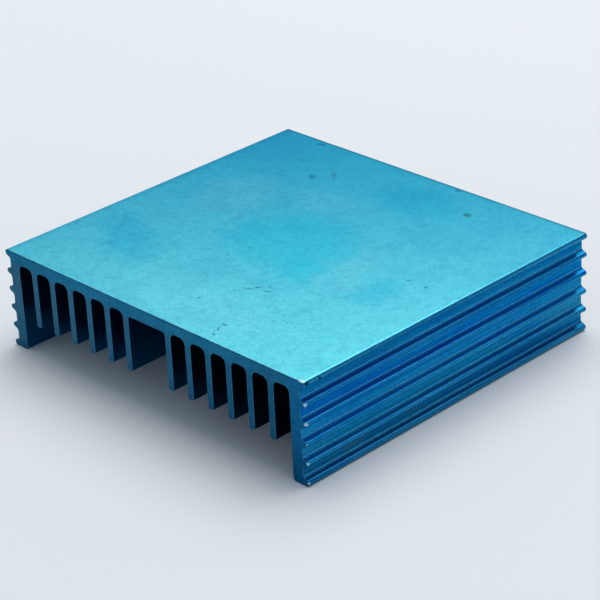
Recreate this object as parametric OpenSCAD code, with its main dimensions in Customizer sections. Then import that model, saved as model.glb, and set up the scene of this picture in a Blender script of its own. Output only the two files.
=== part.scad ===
// Extruded aluminium heat sink, standing on its two side walls with the flat plate face up.
// One constant profile, X across the fins and Z up, runs along Y for the whole length.
// The origin is the middle of the footprint, on the surface that the feet rest on.

/* [Overall] */
// Length of the cut piece, along the fins
length = 60; // [20:1:200]
// Height from the feet to the flat plate face
height = 16.4; // [14:0.1:30]

/* [Plate] */
// Thickness of the plate over the slots
plate_t = 1.8; // [1.2:0.1:3]
// Extra thickness of the plate over the wide channel
channel_pad = 0.3; // [0.1:0.1:1]

/* [Fins] */
// Number of fins on each side of the wide channel
fins_per_side = 6; // [2:1:12]
// Thickness of one fin
fin_t = 1.1; // [0.8:0.1:2]
// How far a fin reaches below the plate
fin_len = 9.5; // [4:0.1:10.5]
// Radius of the corners at the tip of a fin
fin_tip_r = 0.35; // [0.1:0.05:0.35]

/* [Slots] */
// Width of the slot beside a fin
slot_w = 3.07; // [2.2:0.01:5]
// Radius of the corners at the root of a slot
slot_root_r = 1; // [0.2:0.1:1]
// Width of the channel between the two groups of fins
channel_w = 7.96; // [4:0.01:20]
// Radius of the corners under the roof of the channel
channel_root_r = 0.6; // [0.2:0.1:1.5]

/* [Side walls] */
// Thickness of a side wall at the floor of its grooves
wall_t = 2; // [1.5:0.1:4]
// Radius of the inner corner of a foot
foot_r = 0.5; // [0.1:0.1:1]

/* [Ribs] */
// Number of ribs on a side wall, between its two lips
rib_count = 4; // [1:1:4]
// How far the ribs and lips stand out from the floor of the grooves
rib_h = 1; // [0.8:0.1:1.5]
// Radius of the tip of a rib
rib_tip_r = 0.4; // [0.1:0.05:0.5]
// Radius of the lips at the top and the bottom of a side wall
lip_r = 0.5; // [0.2:0.05:0.6]
// Slope of the flanks of the ribs and lips, in degrees
rib_slope = 22; // [5:1:30]
// Radius of the fillets where the flanks meet the floor of the grooves
rib_root_r = 0.55; // [0.2:0.05:0.6]

/* [Hidden] */
// Sides of a full circle, and steps of an arc in a rib's outline
$fn = 64;
arc_steps = 8;
// How far a cut runs past the face that it opens
past = 1;

fin_pitch = fin_t + slot_w;
group_w = fins_per_side * fin_pitch;
// From the middle plane out to the inner face and to the groove floor of a side wall
inner_x = channel_w / 2 + group_w;
floor_x = inner_x + wall_t;
root_z = height - plate_t;
fin_tip_z = root_z - fin_len;
channel_root_z = root_z - channel_pad;
// Bottom of the band that holds every rounded root
band_z = channel_root_z - max(slot_root_r, channel_root_r);
rib_pitch = (height - 2 * lip_r) / (rib_count + 1);

// A bar of the given width and length along +Y, with both corners of its far end rounded.
module round_ended_bar(width, len, r) {
    translate([-width / 2, 0]) square([width, len - r]);
    translate([r - width / 2, 0]) square([width - 2 * r, len]);
    for (side = [-1, 1])
        translate([side * (width / 2 - r), len - r]) circle(r);
}

// The plate with the rounded roots of its slots and of the wide channel.
module plate_outline() {
    difference() {
        translate([-floor_x, band_z]) square([2 * floor_x, height - band_z]);
        translate([0, band_z - past])
            round_ended_bar(channel_w, channel_root_z - band_z + past, channel_root_r);
        for (side = [-1, 1], i = [0 : fins_per_side - 1])
            translate([side * (inner_x - slot_w / 2 - i * fin_pitch), band_z - past])
                round_ended_bar(slot_w, root_z - band_z + past, slot_root_r);
    }
}

// One fin hanging from the plate, centred on its own X.
module fin_outline() {
    translate([0, root_z]) mirror([0, 1]) round_ended_bar(fin_t, fin_len, fin_tip_r);
}

// The right side wall up to its groove floor, with the inner corner of the foot rounded.
module wall_outline() {
    translate([inner_x, foot_r]) square([wall_t, height - foot_r]);
    translate([inner_x + foot_r, 0]) square([wall_t - foot_r, height]);
    translate([inner_x + foot_r, foot_r]) circle(foot_r);
}

// Points of an arc about a centre, between two angles in degrees.
function arc(centre, r, from, to) = [
    for (i = [0 : arc_steps])
        let (a = from + (to - from) * i / arc_steps) centre + r * [cos(a), sin(a)]
];

// One rib, pointing along +X from the groove floor at X = 0: a round tip, two sloped
// flanks tangent to it, and a fillet where each flank meets the floor.
module rib_outline(tip_r) {
    reach = (rib_h - tip_r) * sin(rib_slope) + tip_r;
    fillet_y = (reach + rib_root_r * (1 - sin(rib_slope))) / cos(rib_slope);
    polygon(concat(
        [[-wall_t / 2, -fillet_y]],
        arc([rib_root_r, -fillet_y], rib_root_r, 180, 90 + rib_slope),
        arc([rib_h - tip_r, 0], tip_r, rib_slope - 90, 90 - rib_slope),
        arc([rib_root_r, fillet_y], rib_root_r, 270 - rib_slope, 180),
        [[-wall_t / 2, fillet_y]]
    ));
}

// The lips and ribs of the right side wall. The lips are ribs that the plate face and
// the underside of the foot cut flush.
module ribs_outline() {
    intersection() {
        translate([inner_x, 0]) square([wall_t + rib_h, height]);
        translate([floor_x, lip_r]) {
            rib_outline(lip_r);
            translate([0, height - 2 * lip_r]) rib_outline(lip_r);
            for (i = [1 : rib_count])
                translate([0, i * rib_pitch]) rib_outline(rib_tip_r);
        }
    }
}

module profile() {
    plate_outline();
    for (side = [0, 1]) mirror([side, 0]) {
        wall_outline();
        ribs_outline();
        for (i = [0 : fins_per_side - 1])
            translate([channel_w / 2 + fin_t / 2 + i * fin_pitch, 0]) fin_outline();
    }
}

module heat_sink() {
    color("steelblue")
        rotate([90, 0, 0]) linear_extrude(length, center = true) profile();
}

heat_sink();
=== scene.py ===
import math

import bmesh
import bpy
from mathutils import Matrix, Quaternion, Vector


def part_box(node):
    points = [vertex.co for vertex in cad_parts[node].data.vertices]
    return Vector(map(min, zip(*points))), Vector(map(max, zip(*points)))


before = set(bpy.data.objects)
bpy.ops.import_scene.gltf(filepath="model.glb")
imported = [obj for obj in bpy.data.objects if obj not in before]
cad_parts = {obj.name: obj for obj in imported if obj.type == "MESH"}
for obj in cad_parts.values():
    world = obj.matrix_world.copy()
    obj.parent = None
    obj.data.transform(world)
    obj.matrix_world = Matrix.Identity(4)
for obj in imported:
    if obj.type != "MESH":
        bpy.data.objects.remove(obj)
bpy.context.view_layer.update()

# ---------------------------------------------------------------------------------------
# The heat sink. One length sawn from an extruded aluminium bar: a plate with its fins and
# two ribbed side walls. It was etched matt and anodised blue after sawing, so the dye is
# on the cut ends too, and handling has since rubbed and marked it.

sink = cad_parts["heat_sink"]
low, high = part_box("heat_sink")
MM = 1000.0
half_width, half_length, height = high.x * MM, high.y * MM, high.z * MM


class Signal:
    """A shader socket that ordinary arithmetic can be written on."""

    def __init__(self, tree, socket=None):
        self.tree = tree
        self.socket = socket

    def node(self, kind, settings, links, output=0):
        """Adds a node of any kind: its settings first, or a ramp's stops, then its sockets."""
        node = self.tree.nodes.new(kind)
        stops = settings.pop("stops", ())
        for position, colour in stops[1:-1]:
            node.color_ramp.elements.new(position)
        for number, (position, colour) in enumerate(stops):
            node.color_ramp.elements[number].position = position
            node.color_ramp.elements[number].color = colour
        for name, value in settings.items():
            setattr(node, name, value)
        for key, value in links.items():
            if isinstance(value, Signal):
                self.tree.links.new(value.socket, node.inputs[key])
            else:
                node.inputs[key].default_value = value
        return Signal(self.tree, node.outputs[output] if node.outputs else None)

    def math(self, operation, first, second=0.0):
        return self.node("ShaderNodeMath", {"operation": operation}, {0: first, 1: second})

    def __add__(self, other):
        return self.math("ADD", self, other)

    def __sub__(self, other):
        return self.math("SUBTRACT", self, other)

    def __mul__(self, other):
        return self.math("MULTIPLY", self, other)

    def __truediv__(self, other):
        return self.math("DIVIDE", self, other)

    def __radd__(self, other):
        return self.math("ADD", other, self)

    def __rsub__(self, other):
        return self.math("SUBTRACT", other, self)

    def __rmul__(self, other):
        return self.math("MULTIPLY", other, self)

    def __abs__(self):
        return self.math("ABSOLUTE", self)

    def rise(self, start, end):
        """0 up to start, 1 from end on, smooth between; end may be the lower one."""
        if end < start:
            return 1 - self.rise(end, start)
        return self.node(
            "ShaderNodeMapRange",
            {"interpolation_type": "SMOOTHSTEP"},
            {"Value": self, "From Min": start, "From Max": end},
        )

    def xyz(self):
        return [self.node("ShaderNodeSeparateXYZ", {}, {0: self}, i) for i in range(3)]

    def vector(self, operation, other, output=0):
        settings = {"operation": operation}
        return self.node("ShaderNodeVectorMath", settings, {0: self, 1: other}, output)

    def noise(self, scale, stretch=(1, 1, 1), detail=4.0, roughness=0.55, warp=0.0, output="Fac"):
        """Noise from 0 to 1 with scale features in a millimetre, stretched by axis."""
        place = self.vector("MULTIPLY", stretch)
        links = {
            "Vector": place,
            "Scale": scale,
            "Detail": detail,
            "Roughness": roughness,
            "Distortion": warp,
        }
        return self.node("ShaderNodeTexNoise", {}, links, output)

    def frayed(self, scale, reach):
        """This place pushed about by up to reach millimetres, so that shapes on it fray."""
        push = self.noise(scale, detail=2.0, roughness=0.65, output="Color")
        push = push.vector("SUBTRACT", (0.5, 0.5, 0.5)).vector("MULTIPLY", (reach, reach, reach))
        return self.vector("ADD", push)

    def patch(self, at, size, turn=0.0, fade=0.3):
        """1 within an oval around the point at, falling to 0 at its rim; turned about Z."""
        settings = {"vector_type": "TEXTURE"}
        angles = (0, 0, math.radians(turn))
        links = {"Vector": self, "Location": at, "Rotation": angles, "Scale": size}
        local = self.node("ShaderNodeMapping", settings, links)
        return local.vector("LENGTH", (0, 0, 0), "Value").rise(1.0, fade)

    def blend(self, first, second):
        """Mixes two colours, with this signal as the share of the second."""
        settings = {"data_type": "RGBA"}
        return self.node("ShaderNodeMix", settings, {0: self, 6: first, 7: second}, 2)

    def tinted(self, share, colour):
        """This colour, multiplied by another as far as the share goes."""
        settings = {"data_type": "RGBA", "blend_type": "MULTIPLY"}
        return self.node("ShaderNodeMix", settings, {0: share, 6: self, 7: colour}, 2)


anodised = bpy.data.materials.new("blue_anodised_aluminium")
anodised.use_nodes = True
tree = anodised.node_tree
tree.nodes.clear()
shop = Signal(tree)

place = shop.node("ShaderNodeTexCoord", {}, {}, "Object").vector("MULTIPLY", (MM, MM, MM))
x, y, z = place.xyz()
facing = shop.node("ShaderNodeTexCoord", {}, {}, "Normal").xyz()

# Where each kind of surface is: the plate face, the two sawn ends, the ribbed walls.
on_plate = facing[2].rise(0.8, 0.95) * z.rise(height - 0.6, height - 0.3)
on_end = abs(facing[1]).rise(0.8, 0.95)
on_wall = abs(x).rise(half_width - 1.3, half_width - 1.1) * (1 - on_end) * (1 - on_plate)

# Edges, found where a rounded normal leaves the flat one; below they are paler, partly rubbed by
# handling and partly a painted highlight.
rim_radius = 0.18 / MM
true_normal = shop.node("ShaderNodeNewGeometry", {}, {}, "True Normal")
round_normal = shop.node("ShaderNodeBevel", {"samples": 8}, {"Radius": rim_radius})
turned = 1 - round_normal.vector("DOT_PRODUCT", true_normal, "Value")
edge_mask = turned.rise(0.005, 0.12)

# Grain of the etched metal, clouds in the dye, and the fine lines the die drew along the bar.
speckle = place.noise(3.4, detail=2.0, roughness=0.75)
mottle = place.noise(0.9, detail=4.0, roughness=0.6, warp=0.4)
clouds = place.noise(0.13, detail=4.0, roughness=0.6, warp=0.6)
lines = place.noise(2.4, (1, 0.012, 1), detail=4.0, roughness=0.7)
bands = place.noise(0.4, (1, 0.09, 1), detail=3.0)

# The plate face: deep blue in its back left corner and paler towards the front right one as
# a painted highlight of the lamp, with areas where the dye took more, then where it took less.
frontward = x * 0.49 - y * 0.87
plate_colour = frontward.rise(-42, 40).blend((0.018, 0.37, 0.55, 1), (0.14, 0.66, 0.75, 1))
face_reach = 9
area = place.frayed(0.35, 7.0)
for at, size, turn, colour in (
    ((0, 0), (13, 12), 0, (0.50, 0.98, 1.0, 1)),
    ((8, -7), (6, 5), -30, (0.55, 0.96, 0.99, 1)),
    ((-8, -3), (4, 7), 20, (0.70, 0.96, 0.99, 1)),
    ((-29, 24), (12, 9), 0, (0.75, 0.90, 0.96, 1)),
    ((5, 22), (11, 7), 0, (0.60, 0.93, 0.98, 1)),
    ((-21, -15), (12, 6), -30, (0.60, 0.90, 0.97, 1)),
    ((21, -4), (4, 6), 0, (0.70, 0.94, 0.98, 1)),
):
    deep = area.patch((*at, height), (*size, face_reach), turn, 0.4)
    plate_colour = plate_colour.tinted(deep, colour)
for at, size, turn, share, colour in (
    ((-19, 6), (9, 11), 0, 0.6, (0.10, 0.48, 0.61, 1)),
    ((14, -2), (4, 11), 15, 0.5, (0.15, 0.58, 0.70, 1)),
    ((-5, 13), (11, 5), 0, 0.5, (0.09, 0.49, 0.64, 1)),
    ((4, -24), (22, 9), 0, 0.6, (0.17, 0.66, 0.76, 1)),
):
    pale = area.patch((*at, height), (*size, face_reach), turn, 0.3) * share
    plate_colour = pale.blend(plate_colour, colour)
plate_colour = plate_colour.tinted(clouds.rise(0.52, 0.38) * 0.5, (0.75, 0.88, 0.93, 1))
plate_colour = plate_colour.tinted(mottle.rise(0.56, 0.36) * 0.5, (0.62, 0.82, 0.86, 1))
# The face darker along its left rim, and painted shade along its back rim, where the lip rounds
# away from the light.
plate_colour = plate_colour.tinted(x.rise(-30.0, -31.6) * 0.7, (0.50, 0.72, 0.82, 1))
plate_colour = plate_colour.tinted(y.rise(29.2, 29.9), (0.50, 0.60, 0.68, 1))

# Marks of handling on the face: stains, scratches, a faint arc, and pits, most of them in
# the worn front right corner.
BROWN = (0.55, 0.36, 0.30, 1)
NAVY = (0.15, 0.40, 0.62, 1)
SOOT = (0.15, 0.24, 0.30, 1)
FAINT = (0.45, 0.60, 0.65, 1)
scuffed = place.frayed(1.6, 1.1)
for at, size, turn, colour in (
    ((14.0, 23.4), (1.2, 1.0), 0, BROWN),
    ((-14.6, 18.6), (1.2, 0.8), -45, NAVY),
    ((-12.2, 21.0), (2.6, 0.6), -45, (0.75, 0.74, 0.78, 1)),
    ((25.0, 24.8), (1.5, 0.4), 10, (0.45, 0.70, 0.76, 1)),
    ((25.6, 1.2), (0.7, 0.25), -60, SOOT),
    ((22.2, 1.4), (0.4, 0.30), 0, SOOT),
    ((18.0, 1.6), (0.6, 0.22), -60, FAINT),
    ((23.8, -7.4), (0.8, 0.26), 50, SOOT),
    ((7.0, -14.3), (1.2, 0.22), 60, SOOT),
    ((6.1, -15.5), (0.9, 0.35), 30, SOOT),
    ((5.1, -17.2), (1.2, 0.20), 60, FAINT),
    ((9.0, -14.4), (0.9, 0.25), 20, BROWN),
    ((8.2, -13.2), (0.5, 0.20), -20, FAINT),
    ((11.7, -25.4), (0.6, 0.36), 20, SOOT),
    ((11.9, -26.9), (1.3, 0.20), -75, SOOT),
    ((12.6, -28.4), (0.6, 0.20), -40, SOOT),
    ((-3.4, -6.0), (0.4, 0.3), 0, (0.40, 0.58, 0.62, 1)),
    ((-4.4, -9.7), (0.5, 0.3), 0, (0.40, 0.58, 0.62, 1)),
    ((2.8, -22.0), (0.5, 0.25), -40, SOOT),
    ((7.0, 29.2), (1.0, 0.4), 0, SOOT),
    ((-22.4, 28.8), (1.4, 0.6), 0, NAVY),
):
    mark = scuffed.patch((*at, height), (*size, face_reach), turn, 0.0)
    plate_colour = plate_colour.tinted(mark, colour)
arc = area.patch((-1, -12, height), (7, 1.6, face_reach), -30, 0.0) * mottle.rise(0.60, 0.45)
plate_colour = plate_colour.tinted(arc * 0.5, (0.60, 0.80, 0.84, 1))
worn_corner = area.patch((15, -20, height), (14, 9, face_reach), -20, 0.2)
pits = place.noise(1.7, detail=3.0, roughness=0.75).rise(0.56, 0.72)
plate_colour = plate_colour.tinted(pits * (worn_corner * 0.8 + 0.2), (0.35, 0.50, 0.56, 1))

# The ribbed walls: each groove took the dye in its own way, from the foot up to the lip.
# Every root gets painted shade, the top of each fillet a paler line, partly burnished by the
# die and partly a painted highlight, and the crests are paler, partly rubbed and partly a
# painted highlight. step is the height above the middle of the rib below, in millimetres.
lip_r = 0.5
pitches = 5
pitch = (height - 2 * lip_r) / pitches
step = shop.math("FRACT", (z - lip_r) / pitch) * pitch
burnish_and_highlight = step.rise(0.72, 0.82) * step.rise(0.96, 0.86)
root_shade = step.rise(0.36, 0.46) * step.rise(0.66, 0.56) * abs(x).rise(31.6, 31.4)
crest_wear_and_highlight = abs(x).rise(half_width - 0.40, half_width - 0.15) * lines.rise(0.30, 0.60)
groove_dyes = (
    (0.00, (0.004, 0.12, 0.27, 1)),
    (0.12, (0.004, 0.14, 0.33, 1)),
    (0.31, (0.005, 0.20, 0.43, 1)),
    (0.50, (0.005, 0.20, 0.48, 1)),
    (0.69, (0.001, 0.16, 0.46, 1)),
    (0.88, (0.003, 0.17, 0.40, 1)),
    (1.00, (0.003, 0.14, 0.32, 1)),
)
grooves = shop.node("ShaderNodeValToRGB", {"stops": groove_dyes}, {"Fac": z / height})
wall_colour = grooves.tinted(bands.rise(0.56, 0.40), (0.6, 0.82, 1.02, 1))

# Pale and dirty smears in the grooves of the right wall, each at its Y and Z.
smeared = place.frayed(0.8, 1.2)
for at, size, share, colour in (
    ((-29, 8.2), (8, 1.6), 0.5, (0.020, 0.30, 0.50, 1)),
    ((-29, 5.1), (9, 1.6), 0.6, (0.022, 0.28, 0.50, 1)),
    ((26, 5.4), (10, 3.0), 0.6, (0.030, 0.28, 0.44, 1)),
    ((27, 8.4), (8, 1.6), 0.4, (0.020, 0.27, 0.46, 1)),
    ((-20, 2.3), (4, 0.7), 0.7, (0.050, 0.15, 0.20, 1)),
    ((-8, 2.4), (3, 0.6), 0.4, (0.040, 0.16, 0.24, 1)),
    ((-18, 14.6), (20, 1.3), 0.5, (0.004, 0.14, 0.29, 1)),
):
    smear = smeared.patch((half_width, *at), (3, *size), 0, 0.1) * share
    wall_colour = smear.blend(wall_colour, colour)
wall_colour = wall_colour.tinted(lines.rise(0.54, 0.36) * 0.6, (0.5, 0.72, 0.78, 1))
wall_colour = (lines.rise(0.52, 0.68) * 0.35).blend(wall_colour, (0.03, 0.36, 0.58, 1))
# Painted shade in the roots, then the paler fillet lines and crests, partly wear and partly
# painted highlight.
wall_colour = wall_colour.tinted(root_shade * 0.6, (0.3, 0.55, 0.60, 1))
wall_colour = (burnish_and_highlight * 0.45).blend(wall_colour, (0.10, 0.38, 0.52, 1))
wall_colour = (crest_wear_and_highlight * 0.35).blend(wall_colour, (0.05, 0.34, 0.55, 1))

# The sawn ends: greyer on the left fins, a deeper blue on the right wall and at the tips of
# the fins, with faint saw lines across.
end_colour = x.rise(-24, 28).blend((0.045, 0.135, 0.235, 1), (0.016, 0.120, 0.24, 1))
end_colour = z.rise(13.4, 15.0).blend(end_colour, (0.020, 0.165, 0.31, 1))
end_colour = x.rise(28.4, 29.6).blend(end_colour, (0.012, 0.165, 0.37, 1))
end_colour = end_colour.tinted(abs(x).rise(14, 27) * 0.6, (0.80, 0.72, 0.74, 1))
# Painted shade: a thin darker band along the top edge of each end, under its rounded rim.
end_colour = end_colour.tinted(z.rise(height - 0.5, height - 0.1), (0.7, 0.75, 0.8, 1))
end_colour = end_colour.tinted(z.rise(7.0, 5.4) * 0.4, (0.5, 0.80, 0.92, 1))
saw_lines = place.noise(1.8, (0.06, 1, 1), detail=4.0, roughness=0.7)
end_colour = end_colour.tinted(saw_lines.rise(0.53, 0.38) * 0.5, (0.5, 0.68, 0.76, 1))
end_colour = end_colour.tinted(mottle.rise(0.52, 0.36) * 0.5, (0.55, 0.74, 0.80, 1))

# The insides of the slots, darker as painted shade and darkest towards the right, and then
# everything put together with its grain and rims.
shaded_slot_colour = x.rise(-4, 14).blend((0.004, 0.115, 0.26, 1), (0.006, 0.055, 0.12, 1))
base_colour = on_wall.blend(shaded_slot_colour, wall_colour)
base_colour = on_end.blend(base_colour, end_colour)
base_colour = on_plate.blend(base_colour, plate_colour)
grain = (speckle - 0.5) * (0.7 + on_wall * 0.9 + on_end * 0.8) + 1
grain_colour = shop.node("ShaderNodeCombineColor", {}, {0: grain, 1: grain, 2: grain})
base_colour = base_colour.tinted(1.0, grain_colour)
# Paler rims on the ends and along the front of the plate face: partly rubbed wear, partly painted
# highlight where the edges catch the light.
end_rim_wear_and_highlight = edge_mask * on_end * mottle.rise(0.25, 0.60) * 0.6
base_colour = end_rim_wear_and_highlight.blend(base_colour, (0.16, 0.38, 0.50, 1))
plate_rim_wear_and_highlight = edge_mask * on_plate * mottle.rise(0.35, 0.60) * y.rise(10, -20) * 0.7
base_colour = plate_rim_wear_and_highlight.blend(base_colour, (0.60, 0.88, 0.92, 1))

# Bright nicks at the front corner of the plate and where the ribs were sawn off, the
# lowest rib first, and dark chips in the lip beside them.
chipped = place.frayed(2.5, 0.35)
nicks = chipped.patch((31.3, -29.8, height), (0.7, 0.5, 0.4), 0, 0.4)
nick_sizes = (0.30, 0.35, 0.22, 0.45, 0.40)
for rib, reach in enumerate(nick_sizes):
    at = (half_width - 0.1, -half_length, lip_r + rib * pitch + 0.1)
    nicks = nicks + chipped.patch(at, (reach, reach * 1.4, reach * 0.7), 0, 0.3)
base_colour = (nicks * 0.8).blend(base_colour, (0.55, 0.80, 0.88, 1))
chips = chipped.patch((32.0, -29.5, 16.0), (0.5, 0.5, 0.35), 0, 0.4)
chips = chips + chipped.patch((32.0, -27.0, 15.9), (0.5, 0.45, 0.35), 0, 0.4)
chips = chips + chipped.patch((31.8, -29.9, 9.3), (0.3, 0.3, 0.3), 0, 0.4)
base_colour = base_colour.tinted(chips, (0.05, 0.12, 0.12, 1))

relief = (speckle - 0.5) * 0.012 + (lines - 0.5) * on_wall * 0.02 - chips * 0.05
bump = shop.node(
    "ShaderNodeBump",
    {},
    {"Strength": 0.35, "Distance": 0.001, "Height": relief, "Normal": round_normal},
)
roughness = 0.32 + on_plate * 0.14 + on_end * 0.12 + (mottle - 0.5) * 0.1

skin = shop.node(
    "ShaderNodeBsdfPrincipled",
    {},
    {
        "Base Color": base_colour,
        "Metallic": 1.0,
        "Roughness": roughness,
        "Normal": bump,
        "Specular Tint": (0.5, 0.95, 1.0, 1),
        "Coat Weight": on_plate * 0.2,
        "Coat Roughness": 0.3,
        "Coat IOR": 1.6,
    },
)
shop.node("ShaderNodeOutputMaterial", {}, {"Surface": skin})
sink.data.materials.clear()
sink.data.materials.append(anodised)

# ---------------------------------------------------------------------------------------
# The stand: a wide pale matt table top just under the feet.

mesh = bpy.data.meshes.new("table_top")
table = bmesh.new()
half_table, gap_under_feet = 4.0, 0.00002
bmesh.ops.create_grid(table, x_segments=1, y_segments=1, size=half_table)
bmesh.ops.translate(table, verts=table.verts, vec=(0, 0, -gap_under_feet))
table.to_mesh(mesh)
table.free()
table_top = bpy.data.objects.new("table_top", mesh)
bpy.context.scene.collection.objects.link(table_top)

paper = bpy.data.materials.new("pale_paper")
paper.use_nodes = True
paper_skin = paper.node_tree.nodes["Principled BSDF"]
paper_skin.inputs["Base Color"].default_value = (0.84, 0.845, 0.84, 1)
paper_skin.inputs["Roughness"].default_value = 0.9
paper_skin.inputs["Specular IOR Level"].default_value = 0.1
mesh.materials.append(paper)

# ---------------------------------------------------------------------------------------
# The light: a bluish room, paler at the horizon, and one large round soft lamp overhead, a
# little behind the part. Azimuths are counted from the front, -Y, towards the right, +X.

room = bpy.data.worlds.new("pale_room")
bpy.context.scene.world = room
room.use_nodes = True
room.node_tree.nodes.clear()
sky = Signal(room.node_tree)
gaze = sky.node("ShaderNodeTexCoord", {}, {}, "Generated")
elevation = gaze.xyz()[2]
glow = elevation.rise(0.05, 0.35).blend((0.71, 0.80, 0.90, 1), (0.30, 0.37, 0.45, 1))
backdrop = sky.node("ShaderNodeBackground", {}, {"Color": glow, "Strength": 1.0})
sky.node("ShaderNodeOutputWorld", {}, {"Surface": backdrop})

lamp_azimuth, lamp_elevation = math.radians(200), math.radians(68)
lamp_distance, lamp_size, lamp_radiance = 1.0, 1.1, 2.75
softbox = bpy.data.lights.new("softbox", "AREA")
softbox.shape = "DISK"
softbox.size = lamp_size
softbox.energy = lamp_radiance * math.pi ** 2 * (lamp_size / 2) ** 2
softbox.color = (1.0, 0.975, 0.94)
lamp = bpy.data.objects.new("softbox", softbox)
bpy.context.scene.collection.objects.link(lamp)
towards_lamp = Vector(
    (
        math.sin(lamp_azimuth) * math.cos(lamp_elevation),
        -math.cos(lamp_azimuth) * math.cos(lamp_elevation),
        math.sin(lamp_elevation),
    )
)
lamp.location = towards_lamp * lamp_distance
lamp.rotation_mode = "QUATERNION"
lamp.rotation_quaternion = (-towards_lamp).to_track_quat("-Z", "Y")

# ---------------------------------------------------------------------------------------
# The camera, looking down on the front sawn end and the right ribbed wall.

camera_azimuth, camera_elevation = math.radians(46.33), math.radians(27.1)
camera_distance, camera_roll = 0.3553, math.radians(-2.86)
aim = Vector((-0.00872, 0.0089, 0.0))
towards_camera = Vector(
    (
        math.sin(camera_azimuth) * math.cos(camera_elevation),
        -math.cos(camera_azimuth) * math.cos(camera_elevation),
        math.sin(camera_elevation),
    )
)
camera = bpy.data.objects.new("camera", bpy.data.cameras.new("camera"))
bpy.context.scene.collection.objects.link(camera)
bpy.context.scene.camera = camera
camera.data.sensor_width = 36.0
camera.data.lens = 134.3
camera.data.clip_start = 0.01
camera.location = aim + towards_camera * camera_distance
camera.rotation_mode = "QUATERNION"
level = (-towards_camera).to_track_quat("-Z", "Y")
camera.rotation_quaternion = level @ Quaternion((0, 0, 1), camera_roll)

bpy.context.scene.view_settings.view_transform = "Standard"
